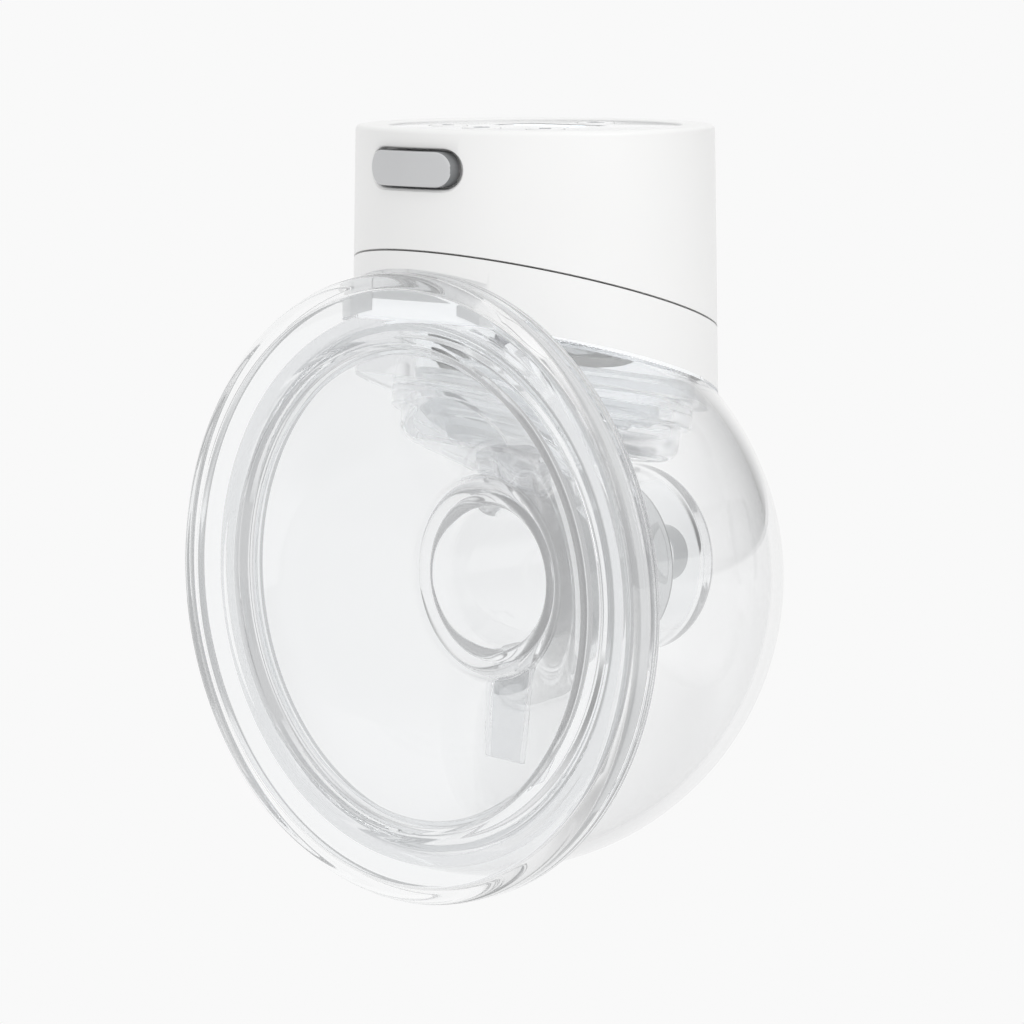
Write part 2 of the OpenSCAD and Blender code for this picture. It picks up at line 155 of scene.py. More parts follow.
def smooth(o, ang=30):
    bm = bmesh.new(); bm.from_mesh(o.data)
    bmesh.ops.remove_doubles(bm, verts=bm.verts, dist=2e-7)
    bmesh.ops.dissolve_degenerate(bm, dist=2e-7, edges=bm.edges)
    for f in bm.faces: f.smooth = True
    a = math.radians(ang)
    for e in bm.edges:
        e.smooth = len(e.link_faces) == 2 and e.calc_face_angle(0) < a
    bm.to_mesh(o.data); bm.free()
    return o

def join(name, objs):
    bm = bmesh.new()
    for o in objs:
        bm.from_mesh(o.data)
        d = o.data; bpy.data.objects.remove(o); bpy.data.meshes.remove(d)
    me = bpy.data.meshes.new(name); bm.to_mesh(me); bm.free()
    o = bpy.data.objects.new(name, me); bpy.context.scene.collection.objects.link(o)
    return o

def pill_ring(L, H, n=14, m=14):
    """Points (x, z) round a slot shape, in order."""
    pts = []; hx = (L - H) / 2; r = H / 2
    for i in range(m): pts.append((-hx + 2 * hx * i / m, r))
    for i in range(n): a = math.pi / 2 - math.pi * i / n; pts.append((hx + r * math.cos(a), r * math.sin(a)))
    for i in range(m): pts.append((hx - 2 * hx * i / m, -r))
    for i in range(n): a = -math.pi / 2 - math.pi * i / n; pts.append((-hx + r * math.cos(a), r * math.sin(a)))
    return pts

def pill(name, L, H, rings, z0=68.9, cap0=True):
    """rings: (inset, y or None, R or None). Follows the housing's curve when R is given."""
    verts, rows = [], []
    for (ins, y, R) in rings:
        row = []
        h = max(H - 2 * ins, 0.0)
        l = L - 2 * ins
        for (x, z) in pill_ring(l, h):
            yy = y if R is None else UY - math.sqrt(R * R - x * x)
            row.append(len(verts)); verts.append(Vector((x, yy, z0 + z)) * MM)
        rows.append(row)
    faces = []
    n = len(rows[0])
    for k in range(len(rows) - 1):
        for i in range(n):
            j = (i + 1) % n
            faces.append((rows[k][i], rows[k][j], rows[k + 1][j], rows[k + 1][i]))
    if cap0: faces.append(tuple(rows[0][::-1]))
    return verts, faces, rows

# ---------------------------------------------------------------- materials
def nodes_of(name):
    m = bpy.data.materials.new(name); m.use_nodes = True
    nt = m.node_tree; b = nt.nodes["Principled BSDF"]
    return m, nt, b

def noise(nt, scale, detail=3.0, vec=None, rough=0.5):
    n = nt.nodes.new("ShaderNodeTexNoise"); n.inputs["Scale"].default_value = scale
    n.inputs["Detail"].default_value = detail; n.inputs["Roughness"].default_value = rough
    if vec is None:
        tc = nt.nodes.new("ShaderNodeTexCoord"); vec = tc.outputs["Object"]
    nt.links.new(vec, n.inputs["Vector"]); return n

def ramp(nt, src, a, b, lo=0.35, hi=0.65):
    r = nt.nodes.new("ShaderNodeMapRange"); r.inputs["From Min"].default_value = lo; r.inputs["From Max"].default_value = hi
    r.inputs["To Min"].default_value = a; r.inputs["To Max"].default_value = b
    nt.links.new(src, r.inputs["Value"]); return r.outputs["Result"]

def bump(nt, b, src, strength, dist=0.0002):
    bp = nt.nodes.new("ShaderNodeBump"); bp.inputs["Strength"].default_value = strength; bp.inputs["Distance"].default_value = dist
    nt.links.new(src, bp.inputs["Height"]); nt.links.new(bp.outputs["Normal"], b.inputs["Normal"]); return bp

def mix_color(nt, fac, c1, c2):
    m = nt.nodes.new("ShaderNodeMix"); m.data_type = 'RGBA'
    nt.links.new(fac, m.inputs[0]); m.inputs[6].default_value = (*c1, 1); m.inputs[7].default_value = (*c2, 1)
    return m.outputs[2]

def clear(name, tint, ior=1.49, rough=0.008, wav=0.02, wscale=60.0, milky=0.0, painted_glow_mix=0.92, painted_glow_grey=0.80, d0=6, d1=14, edge=None):
    m, nt, b = nodes_of(name)
    b.inputs["Base Color"].default_value = (*tint, 1)
    b.inputs["Transmission Weight"].default_value = 1.0
    b.inputs["IOR"].default_value = ior
    n = noise(nt, wscale, 1.0)
    nt.links.new(ramp(nt, n.outputs["Fac"], rough * 0.6, rough * 1.6), b.inputs["Roughness"])
    if wav > 0: bump(nt, b, n.outputs["Fac"], wav, 0.0006)
    # Painted shade: the base colour turns toward the edge grey where the surface is seen at a grazing angle, painting
    # darkness along the outline.
    if edge:
        lw = nt.nodes.new("ShaderNodeLayerWeight"); lw.inputs["Blend"].default_value = 0.5
        pw = nt.nodes.new("ShaderNodeMath"); pw.operation = 'POWER'; pw.inputs[1].default_value = 3.0
        nt.links.new(lw.outputs["Facing"], pw.inputs[0]); nt.links.new(mix_color(nt, pw.outputs[0], tint, edge), b.inputs["Base Color"])
    out = nt.nodes["Material Output"]
    tr = nt.nodes.new("ShaderNodeBsdfTransparent"); tr.inputs["Color"].default_value = (0.98, 0.983, 0.987, 1)
    m0 = nt.nodes.new("ShaderNodeMixShader"); lq = nt.nodes.new("ShaderNodeLightPath")
    mxx = nt.nodes.new("ShaderNodeMath"); mxx.operation = 'MAXIMUM'
    nt.links.new(lq.outputs["Is Shadow Ray"], mxx.inputs[0]); nt.links.new(lq.outputs["Is Diffuse Ray"], mxx.inputs[1])
    nt.links.new(mxx.outputs[0], m0.inputs[0])
    nt.links.new(b.outputs[0], m0.inputs[1]); nt.links.new(tr.outputs[0], m0.inputs[2]); nt.links.new(m0.outputs[0], out.inputs["Surface"])
    # Painted light: past ray depth d0..d1 the shading fades into a flat grey emission. This painted glow lifts the
    # dark insides of the clear parts; it is near white by default and mid grey on the flange and linker, where it
    # paints shade.
    if painted_glow_mix > 0:
        eml = nt.nodes.new("ShaderNodeEmission"); eml.inputs["Color"].default_value = (painted_glow_grey, painted_glow_grey * 1.008, painted_glow_grey * 1.016, 1)
        mz = nt.nodes.new("ShaderNodeMixShader"); dp_ = nt.nodes.new("ShaderNodeMapRange")
        dp_.inputs["From Min"].default_value = d0; dp_.inputs["From Max"].default_value = d1; dp_.inputs["To Max"].default_value = painted_glow_mix
        nt.links.new(lq.outputs["Ray Depth"], dp_.inputs["Value"]); nt.links.new(dp_.outputs["Result"], mz.inputs[0])
        nt.links.new(m0.outputs[0], mz.inputs[1]); nt.links.new(eml.outputs[0], mz.inputs[2]); nt.links.new(mz.outputs[0], out.inputs["Surface"]); m0 = mz
    if milky > 0:
        d = nt.nodes.new("ShaderNodeBsdfDiffuse"); d.inputs["Color"].default_value = (0.93, 0.94, 0.95, 1)
        t = nt.nodes.new("ShaderNodeBsdfTranslucent"); t.inputs["Color"].default_value = (0.93, 0.94, 0.95, 1)
        a = nt.nodes.new("ShaderNodeMixShader"); nt.links.new(d.outputs[0], a.inputs[1]); nt.links.new(t.outputs[0], a.inputs[2])
        mx = nt.nodes.new("ShaderNodeMixShader"); mx.inputs[0].default_value = milky
        nt.links.new(m0.outputs[0], mx.inputs[1]); nt.links.new(a.outputs[0], mx.inputs[2]); nt.links.new(mx.outputs[0], out.inputs["Surface"])
    return m

def plastic(name, c1, c2, rough=0.4, grain=900.0, gs=0.05, coat=0.0, spec=0.5):
    m, nt, b = nodes_of(name)
    big = noise(nt, 35.0, 4.0); fine = noise(nt, grain, 2.0)
    nt.links.new(mix_color(nt, ramp(nt, big.outputs["Fac"], 0, 1), c1, c2), b.inputs["Base Color"])
    nt.links.new(ramp(nt, fine.outputs["Fac"], rough * 0.85, rough * 1.15), b.inputs["Roughness"])
    b.inputs["Specular IOR Level"].default_value = spec
    b.inputs["Coat Weight"].default_value = coat; b.inputs["Coat Roughness"].default_value = 0.05
    bump(nt, b, fine.outputs["Fac"], gs, 0.00008)
    return m

def metal(name, c1, c2, rough=0.25, stretch=(1, 1, 1), scale=300.0):
    m, nt, b = nodes_of(name)
    tc = nt.nodes.new("ShaderNodeTexCoord"); mp = nt.nodes.new("ShaderNodeMapping"); mp.inputs["Scale"].default_value = stretch
    nt.links.new(tc.outputs["Object"], mp.inputs["Vector"])
    n = noise(nt, scale, 3.0, mp.outputs["Vector"])
    nt.links.new(mix_color(nt, ramp(nt, n.outputs["Fac"], 0, 1), c1, c2), b.inputs["Base Color"])
    nt.links.new(ramp(nt, n.outputs["Fac"], rough * 0.7, rough * 1.4), b.inputs["Roughness"])
    b.inputs["Metallic"].default_value = 1.0
    bump(nt, b, n.outputs["Fac"], 0.06, 0.00005)
    return m

def emis(name, col, strength):
    m, nt, b = nodes_of(name)
    b.inputs["Base Color"].default_value = (*col, 1)
    b.inputs["Emission Color"].default_value = (*col, 1); b.inputs["Emission Strength"].default_value = strength
    n = noise(nt, 400.0, 1.0); nt.links.new(ramp(nt, n.outputs["Fac"], 0.25, 0.4), b.inputs["Roughness"])
    return m

# Every clear material glows with painted light past a set ray depth; the bowl also gets painted grey shade along its
# grazing outline.
M_BOWL = clear("bowl_clear", (0.988, 0.99, 0.992), 1.42, 0.003, 0.004, 30.0, edge=(0.64, 0.645, 0.65))
M_LINK = clear("linker_clear", (0.985, 0.99, 0.993), 1.42, 0.005, 0.004, 30.0, 0.0, 0.9, 0.50, 5, 11)
M_CHAM = clear("chamber_clear", (0.975, 0.98, 0.985), 1.36, 0.015, 0.006, 40.0, 0.03)
M_FLAN = clear("flange_silicone", (0.985, 0.988, 0.99), 1.37, 0.008, 0.005, 30.0, 0.003, 0.9, 0.36, 4, 10)
M_SILI = clear("small_silicone", (0.97, 0.975, 0.98), 1.34, 0.05, 0.01, 60.0, 0.05)
M_DUCK = clear("duckbill_silicone", (0.98, 0.982, 0.985), 1.12, 0.08, 0.01, 60.0, 0.04)
M_DIAP = clear("diaphragm_silicone", (0.97, 0.975, 0.98), 1.34, 0.08, 0.01, 60.0, 0.2)
M_WHITE = plastic("white_shell", (0.868, 0.868, 0.863), (0.883, 0.883, 0.878), 0.36, 1400.0, 0.035)
M_INNER = plastic("white_inner", (0.84, 0.84, 0.83), (0.87, 0.87, 0.86), 0.45, 1200.0, 0.05)
M_PLATE_GLOW = plastic("white_plate_painted_glow", (0.86, 0.86, 0.855), (0.88, 0.88, 0.875), 0.45, 1200.0, 0.05)
# Painted light: the base plate glows (emission 0.42) to brighten the shade under the housing skirt.
M_PLATE_GLOW.node_tree.nodes["Principled BSDF"].inputs["Emission Color"].default_value = (0.85, 0.86, 0.87, 1)
M_PLATE_GLOW.node_tree.nodes["Principled BSDF"].inputs["Emission Strength"].default_value = 0.42
M_COVER = plastic("cover_grey", (0.56, 0.565, 0.575), (0.60, 0.605, 0.61), 0.42, 1600.0, 0.06)
# Dark grey for the port cover's side walls: painted shade, not a second colour of the part.
M_COVER_SIDE_SHADE = plastic("cover_side_painted_shade", (0.17, 0.175, 0.18), (0.21, 0.215, 0.22), 0.5, 1600.0, 0.06)
M_PANEL = plastic("panel_gloss", (0.62, 0.63, 0.645), (0.65, 0.66, 0.67), 0.10, 500.0, 0.01, 0.6)
M_KEY = plastic("key_soft", (0.88, 0.88, 0.88), (0.91, 0.91, 0.91), 0.40, 1500.0, 0.05)
M_MARK = plastic("mark_grey", (0.34, 0.35, 0.37), (0.38, 0.39, 0.41), 0.45, 1500.0, 0.04)
M_LENS = plastic("lens_dark", (0.015, 0.017, 0.02), (0.02, 0.022, 0.026), 0.05, 300.0, 0.005, 1.0)
M_GLOW = emis("display_glow", (0.75, 0.88, 0.95), 1.2)
M_DARK = plastic("dark_moulded", (0.035, 0.035, 0.038), (0.05, 0.05, 0.054), 0.45, 900.0, 0.08)
M_RUBB = plastic("black_rubber", (0.02, 0.02, 0.02), (0.035, 0.035, 0.035), 0.7, 700.0, 0.12)
M_FOAM = plastic("foam", (0.045, 0.045, 0.048), (0.09, 0.09, 0.095), 0.9, 2500.0, 0.6)
M_PCB = plastic("board_green", (0.012, 0.10, 0.05), (0.02, 0.14, 0.07), 0.28, 2200.0, 0.12, 0.4)
M_STEEL = metal("steel_plated", (0.55, 0.55, 0.57), (0.66, 0.66, 0.68), 0.28, (1, 1, 12))
M_BRIGHT = metal("bright_shell", (0.70, 0.71, 0.73), (0.80, 0.81, 0.83), 0.14, (1, 8, 1))
M_FOIL = metal("foil_pouch", (0.58, 0.60, 0.62), (0.68, 0.70, 0.73), 0.42, (3, 1, 1), 500.0)

def give(o, mat):
    o.data.materials.clear(); o.data.materials.append(mat)
    return o
def put(o, body, mat, nodes=()):
    give(o, mat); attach(o, body)
    if nodes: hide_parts(*nodes)
    return o

# ---------------------------------------------------------------- funnel profile shared by flange and linker
FX0, FY0, FX1, FY1 = 39.9, 0.6, 17.0, 20.5
_l = math.hypot(FX0 - FX1, FY1 - FY0); NX, NY = (FY1 - FY0) / _l, (FX0 - FX1) / _l
def FR(t, y): return FX0 + NX * t - (y - FY0 - NY * t) * (FX0 - FX1) / (FY1 - FY0)
def FE(t): return (FX1 + NX * t, FY1 + NY * t)
def arcp(cx, cy, r, a0, a1, n): return [(cx + r * math.cos(math.radians(a0 + (a1 - a0) * i / n)), cy + r * math.sin(math.radians(a0 + (a1 - a0) * i / n))) for i in range(n + 1)]

# ---------------------------------------------------------------- flange
e1 = FE(1.7)
back = [(51.2, 6.0, 0.6), (49.5, 6.0, 0.45), (49.5, 2.1, 0.5), (FR(1.7, 2.1), 2.1, 1.0), (e1[0], e1[1], 1.2), (17.0, 24.0, 0.8), (15.2, 26.2, 0.8),
        (14.1, 27.2, 0.8), (14.1, 52.0, 0.9), (12.0, 52.0, 0.9)]
prof = fillet(back + [(12.0, 24.2)], True, 6)[:-1]
prof += arcp(13.3, 23.3, 1.3, 180, 318, 12)
prof += arcp(15.55, 23.2, 1.5, 215, 322, 12)
prof += fillet([(16.7, 22.3), (17.0, 21.6, 0.3), (17.05, 20.9, 0.4), (17.7, FY0 + (FX0 - 17.7) * (FY1 - FY0) / (FX0 - FX1))], False)[1:]
prof += fillet([(17.8, FY0 + (FX0 - 17.8) * (FY1 - FY0) / (FX0 - FX1)), (39.9, 0.6, 1.5), (41.3, 0.0, 1.6), (44, 0.0)], False, 8)[1:]
prof += arcp(50.0, 2.0, 2.0, -90, 0, 10)
prof += fillet([(52.0, 2.2), (52.0, 6.0, 0.9), (51.2, 6.0)], False, 6)
flange = lathe("flange_skin", prof, P_Y, 256)
smooth(flange, 40)
put(flange, "flange_body", M_FLAN, ["flange"])

# ---------------------------------------------------------------- linker
e2, e3 = FE(1.8), FE(3.8)
outer = fillet([(0, 2.2), (49.3, 2.2, 0.5), (49.3, 5.8, 0.5), (43.4, 5.8), (43.4, 7.0), (42.35, 7.0), (42.35, 8.6), (43.4, 8.6), (43.4, 9.5, 0.35), (41.4, 9.5, 0.35),
                (41.4, 5.8, 0.3), (FR(3.8, 5.8), 5.8, 0.6), (e3[0], e3[1], 2.0), (16.4, 27.2, 2.0), (16.4, 63.0, 3.6), (5.0, 63.25, 0.4), (5.0, 67.8, 0.7), (0, 67.8)], False, 7)
lk = lathe("linker_body_clear", outer, P_Y, 224, False)
riser = lathe("r", fillet([(0, 2), (13, 2), (13, 17, 0.5), (0, 17)], False, 5), P_B, 128, False, (0, 37, 0))
boo(lk, riser, 'UNION')
spig = lathe("s", fillet([(0, -22.5), (4.4, -22.5, 0.35), (4.4, -13), (0, -13)], False, 5), P_B, 64, False, (0, 31.5, 0))
boo(lk, spig, 'UNION')
void = lathe("v", fillet([(0, 1), (FR(1.8, 1), 1), (e2[0], e2[1], 1.2), (17.1, 24.1, 0.8), (15.3, 26.3, 0.8), (14.2, 27.3, 0.8), (14.2, 61.0, 3.0), (0, 61.0)], False, 6), P_Y, 224, False)
boo(lk, void)
boo(lk, cyl("c", 5.5, 5, 25, 0, 37, 64))
boo(lk, box("c", -2.5, 37, 0, 2.5, 57, 15.3))
boo(lk, cyl("c", 3.2, -23, -10, 0, 31.5, 48))
boo(lk, box("c", -3, 31.5, -15.3, 3, 57.5, -7))
smooth(lk, 35)
put(lk, "linker_body", M_LINK, ["linker"])

seal = lathe("collector_seal_ring", fillet([(42.45, 7.1, 0.2), (43.3, 7.1, 0.2), (43.6, 7.8, 0.3), (43.3, 8.5, 0.2), (42.45, 8.5, 0.2)], True, 4), P_Y, 192)
smooth(seal, 40); put(seal, "linker_body", M_SILI, ["collector_seal"])
gask = lathe("riser_gasket_ring", fillet([(7.5, 17.05, 0.15), (10.2, 17.05, 0.15), (10.2, 17.5, 0.15), (9.65, 17.6, 0.1), (9.55, 17.9, 0.12), (9.0, 17.9, 0.12), (8.85, 17.6, 0.1), (8.3, 17.6, 0.1), (8.15, 17.9, 0.12), (7.5, 17.9, 0.15)], True, 3), P_B, 128, True, (0, 37, 0))
smooth(gask, 40); put(gask, "linker_body", M_SILI, ["riser_gasket"])

# ---------------------------------------------------------------- duckbill valve
def valve_mesh():
    rings = [(4.5, 4.5, -18.45), (6.3, 6.3, -18.3), (6.55, 6.55, -18.55), (6.6, 6.6, -19.3), (6.35, 6.35, -19.6), (6.02, 6.02, -19.75), (6.0, 6.0, -23.4)]
    for i in range(1, 13):
        t = i / 12.0
        rings.append((6.0 + 0.25 * math.sin(math.pi * t), 6.0 + (1.0 - 6.0) * (t ** 0.92), -23.4 - 11.1 * t))
    rings += [(5.9, 0.85, -34.9), (5.6, 0.6, -35.0), (4.6, 0.16, -35.0), (4.5, 0.12, -34.6)]
    for i in range(0, 12):
        t = 1 - i / 12.0
        rings.append((4.5, 4.5 + (0.15 - 4.5) * (t ** 0.92), -23.4 - 10.2 * t))
    rings += [(4.5, 4.5, -23.2), (4.5, 4.5, -19.0)]
    seg = 96; verts = []; faces = []
    for (a, b, z) in rings:
        p = 2.0 + 2.2 * max(0, (a - b) / max(a, 1e-6)) ** 2
        for i in range(seg):
            w = 2 * math.pi * i / seg; c, s = math.cos(w), math.sin(w)
            verts.append(Vector((a * math.copysign(abs(c) ** (2 / p), c), 31.5 + b * math.copysign(abs(s) ** (2 / p), s), z)) * MM)
    n = len(rings)
    for k in range(n):
        for i in range(seg):
            j = (i + 1) % seg; k2 = (k + 1) % n
            faces.append((k * seg + i, k * seg + j, k2 * seg + j, k2 * seg + i))
    return obj_from("duckbill", verts, faces)
duck = smooth(valve_mesh(), 50)
put(duck, "valve_body", M_DUCK, ["duckbill_valve"])

# ---------------------------------------------------------------- bowl
def ball_prof(r, n=110): return [(r * math.sin(math.pi * i / n), 22.5 - r * math.cos(math.pi * i / n)) for i in range(n + 1)]
def clean_ball(r, n=110):
    p = ball_prof(r, n); p[0] = (0, 22.5 - r); p[-1] = (0, 22.5 + r); return p
def shell_prof():
    R, r = 48.7, 46.7; pts = []
    a0 = math.acos((22.5 - 6.0) / R)
    n = 96
    outerp = [(R * math.sin(a0 + (math.pi - a0) * i / n), 22.5 - R * math.cos(a0 + (math.pi - a0) * i / n)) for i in range(n + 1)]
    outerp[-1] = (0, 22.5 + R)
    a1 = math.acos((22.5 - 11.4) / r)
    innerp = [(r * math.sin(a1 + (math.pi - a1) * i / n), 22.5 - r * math.cos(a1 + (math.pi - a1) * i / n)) for i in range(n + 1)]
    innerp[-1] = (0, 22.5 + r)
    rim = fillet([outerp[1], (outerp[0][0], 6.0, 0.35), (44.0, 6.0, 0.35), (44.0, 9.6, 1.0), innerp[0]], False, 5)
    return innerp[::-1] + [] if False else outerp[::-1][:-1] + rim[1:-1] + innerp
bowl = lathe("bowl_clear", shell_prof(), P_Y, 256, False)
def neck(): return lathe("h", [(0, -12), (23.7, -12), (23.7, 30), (0, 30)], P_C, 192, False)
boo(bowl, half(36.2, True))
boo(bowl, neck())
col = lathe("col", fillet([(0, 20), (29.5, 20), (29.5, 60), (0, 60)], False, 4), P_Z, 192, False)
boo(col, lathe("b", clean_ball(48.3), P_Y, 192, False), 'INTERSECT')
low = box("low", -70, -70, -80, 70, 70, 4.15); low.data.transform(Matrix.Translation(Vector((0, CY, CZ)) * MM) @ Matrix.Rotation(-LEAN, 4, 'X'))
boo(col, low)
boo(col, lathe("c", [(0, -8), (60, -8), (60, 6.02), (44.6, 6.02), (44.6, 9.8), (0, 9.8)], P_Y, 192, False))
boo(col, half(36.2, True))
boo(col, neck())
boo(bowl, col, 'UNION')
smooth(bowl, 30)
put(bowl, "collector", M_BOWL, ["collector_bowl"])

# ---------------------------------------------------------------- suction chamber
ch = lathe("chamber_clear", fillet([(0, -5.8), (23.4, -5.8, 4.5), (23.4, 0, 0.4), (25.2, 0, 0.6), (25.2, 4, 0.6), (21.8, 4, 0.3), (21.8, 6, 0.5), (0, 6)], False, 9), P_C, 192, False)
boss = lathe("b", fillet([(0, 18), (10.9, 18, 0.6), (10.9, 25), (0, 25)], False, 6), P_B, 128, False, (0, 37, 0))
boo(ch, boss, 'UNION')
def relief(t):
    ex, ey = FE(t)
    return lathe("rel", [(0, -5), (FR(t, -5), -5), (ex, ey), (ex - 2.75, ey + 3.63), (0, ey + 3.63)], P_Y, 224, False)
boo(ch, relief(4.2))
cav = lathe("c", fillet([(0, -4.2), (21.8, -4.2, 2.9), (21.8, 2.6, 0.5), (20.2, 3.6, 0.4), (20.2, 8), (0, 8)], False, 8), P_C, 192, False)
boo(cav, relief(5.8)); boo(ch, cav)
boo(ch, cyl("c", 5.5, 16, 28, 0, 37, 64))
smooth(ch, 32)
put(ch, "collector", M_CHAM, ["pump_chamber"])

# ---------------------------------------------------------------- diaphragm, one soft cup (not attached to a body)
dp = fillet([(0, -2.6), (14.3, -2.6, 0.5), (14.8, -1.2, 0.4), (15.3, 0.9, 0.5), (16.2, 0.9, 0.4), (16.9, -0.3, 0.5), (18.0, -0.3, 0.7), (19.5, 1.3, 0.6), (19.5, 6.1, 0.3), (21.95, 6.1, 0.2), (21.95, 4.4, 0.3),
             (23.4, 4.4, 0.4), (23.4, 7.2, 0.5), (18.2, 7.2, 0.5), (18.2, 1.9, 0.5), (17.6, 0.8, 0.4), (17.3, 0.8, 0.3), (16.6, 1.9, 0.5), (14.9, 1.9, 0.5), (14.1, -0.9, 0.5), (11.5, -1.4, 0.3), (11.0, -0.9, 0.25),
             (10.2, -0.9, 0.25), (9.7, -1.4, 0.3), (0, -1.4)], False, 5)
dia = lathe("diaphragm_cup", dp, P_C, 160, False); smooth(dia, 45)
give(dia, M_DIAP)
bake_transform(dia)
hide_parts("diaphragm", "membrane")

# ---------------------------------------------------------------- housing
bxs = [(0, -13), (-11, -9.5), (11, -9.5), (0, 15)]
up = lathe("upper_shell", fillet([(0, 74.2), (24.4, 74.2, 0.1), (24.4, 75.26, 0.35), (UR(75.26), 75.26, 0.85), (UR(38), 38), (28.4, 38), (28.4, 72.4, 0.6), (0, 72.4)], False, 7), P_Z, 288, False)
blk = box("blk", -12.5, 3.2, 64, 12.5, 7.4, 73)
core = lathe("core", [(0, 50), (29.2, 50), (29.2, 74), (0, 74)], P_Z, 192, False)
boo(blk, core, 'INTERSECT')
boo(up, blk, 'UNION')
boo(up, half(SEAM + 0.17, False))
v, f, rows = pill("pk", 20, 6.5, [(0, 6.2, None), (0, None, 29.2), (0.0, None, 29.55), (-0.06, None, 29.76), (-0.2, None, 29.93), (-0.45, None, 30.06), (-0.6, None, 30.4), (-0.6, None, 38.0)])
f.append(tuple(rows[-1])); boo(up, obj_from("pk", v, f))
v, f, rows = pill("pk", 9.6, 3.8, [(0, 9, None), (0, 5, None)])
f.append(tuple(rows[-1])); boo(up, obj_from("pk", v, f))
for (x, y) in bxs: boo(up, cyl("c", 3.4, 70, 78, x, UY + y, 48))
boo(up, box("c", -9.7, UY - 2.7, 70, 9.7, UY + 9.7, 78))
smooth(up, 30)
put(up, "motor_unit", M_WHITE, ["upper_housing"])

lw = lathe("lower_shell", [(UR(14), 14), (UR(60), 60), (28.4, 60), (28.4, 14)], P_Z, 288)
boo(lw, half(SEAM - 0.17, True))
tg = lathe("t", [(28.9, 30), (28.9, SEAM - 30), (27.0, SEAM - 30), (27.0, 30)], P_Z, 192)
d = tg.data; bpy.data.objects.remove(tg); bpy.data.meshes.remove(d)
tg = lathe("t", [(28.2, 30), (28.2, 62), (27.0, 62), (27.0, 30)], P_Z, 192)
boo(tg, half(SEAM + 2.2, True)); boo(tg, half(SEAM - 3, False))
tb = lathe("t", [(28.9, 30), (28.9, 62), (27.0, 62), (27.0, 30)], P_Z, 192)
boo(tb, half(SEAM - 0.8, True)); boo(tb, half(SEAM - 2.9, False))
boo(tg, tb, 'UNION'); boo(lw, tg, 'UNION')
bk = box("bk", -22, 6.5, 40, 22, 8.1, 60)
boo(bk, lathe("c", [(0, 30), (28.9, 30), (28.9, 62), (0, 62)], P_Z, 192, False), 'INTERSECT')
boo(bk, half(39.7, False)); boo(bk, half(SEAM - 1, True)); boo(lw, bk, 'UNION')
boo(lw, lathe("b", clean_ball(49.0, 150), P_Y, 256, False))
boo(lw, cyl("c", 52.6, -20, 6.4, 0, 0, 256, 0, P_Y))
for a in (30, 150, 232, 308):
    px, py = 25.9 * math.cos(math.radians(a)), 25.9 * math.sin(math.radians(a))
    post = cyl("p", 2.9, 30, 60, px, UY + py, 40)
    boo(post, half(39.7, False)); boo(post, half(SEAM - 1, True)); boo(post, cyl("q", 1.25, 20, 70, px, UY + py, 24))
    boo(lw, post, 'UNION')
smooth(lw, 30)
put(lw, "motor_unit", M_WHITE, ["lower_housing"])

# ---------------------------------------------------------------- port cover
rg = [(0.25, 5.7, None), (0.0, 5.45, None), (0, None, 30.78)]
for i in range(1, 6):
    a = math.pi / 2 * i / 5; rg.append((0.32 * (1 - math.cos(a)), None, 30.78 + 0.32 * math.sin(a)))
rg += [(0.8, None, 31.1), (1.4, None, 31.1), (2.0, None, 31.1), (2.899, None, 31.1)]
v, f, rows = pill("cover", 18, 5.8, rg)
cov = obj_from("port_cover_cap", v, f)
boo(cov, cyl("k", 0.5, 67.7, 70.1, -9.1, 5.3, 24), 'UNION')
boo(cov, cyl("k", 0.33, 65.7, 72.1, -9.1, 5.3, 24), 'UNION')
smooth(cov, 35)
put(cov, "cover_body", M_COVER, ["port_cover"])
# Painted shade: faces not turned to the front get the dark side material, painting the shade on the cover's sides.
cov.data.materials.append(M_COVER_SIDE_SHADE)
for p in cov.data.polygons:
    if p.normal.y > -0.6: p.material_index = 1

# ---------------------------------------------------------------- top panel, keys, display
pn = lathe("panel_disc", fillet([(0, 74.25), (24.15, 74.25), (24.15, 74.95, 0.3), (0, 74.95)], False, 5), P_Z, 192, False)
for (x, y) in bxs: boo(pn, cyl("c", 3.35, 70, 78, x, UY + y, 64))
boo(pn, box("c", -8.65, UY + 3.5 - 4.9, 70, 8.65, UY + 3.5 + 4.9, 78))
smooth(pn, 30); put(pn, "motor_unit", M_PANEL, ["top_panel"])
names = ["power", "minus", "plus", "mode"]
for i, (x, y) in enumerate(bxs):
    k = lathe(names[i] + "_cap", fillet([(0, 72.75), (1.1, 72.75, 0.2), (1.1, 73.6), (3.1, 73.6, 0.2), (3.1, 75.15, 0.45), (2.3, 75.12, 0.8), (0, 74.98)], False, 5), P_B, 64, False, (x, UY + y, 0))
    smooth(k, 40); put(k, names[i] + "_key", M_KEY, [names[i] + "_button"])
def bar(name, x0, y0, x1, y1, z0, z1): return box(name, x0, UY + y0, z0, x1, UY + y1, z1)
def mark(objs, name, key):
    o = join(name, objs); smooth(o, 40); put(o, key, M_MARK); return o
zt0, zt1 = 74.9, 75.13
(x, y) = bxs[1]; mark([bar("m", x - 1.2, y - 0.18, x + 1.2, y + 0.18, zt0, zt1)], "minus_mark", "minus_key")
(x, y) = bxs[2]; mark([bar("m", x - 1.2, y - 0.18, x + 1.2, y + 0.18, zt0, zt1), bar("m", x - 0.18, y - 1.2, x + 0.18, y + 1.2, zt0, zt1 - 0.005)], "plus_mark", "plus_key")
(x, y) = bxs[0]
pts = []
ring = []
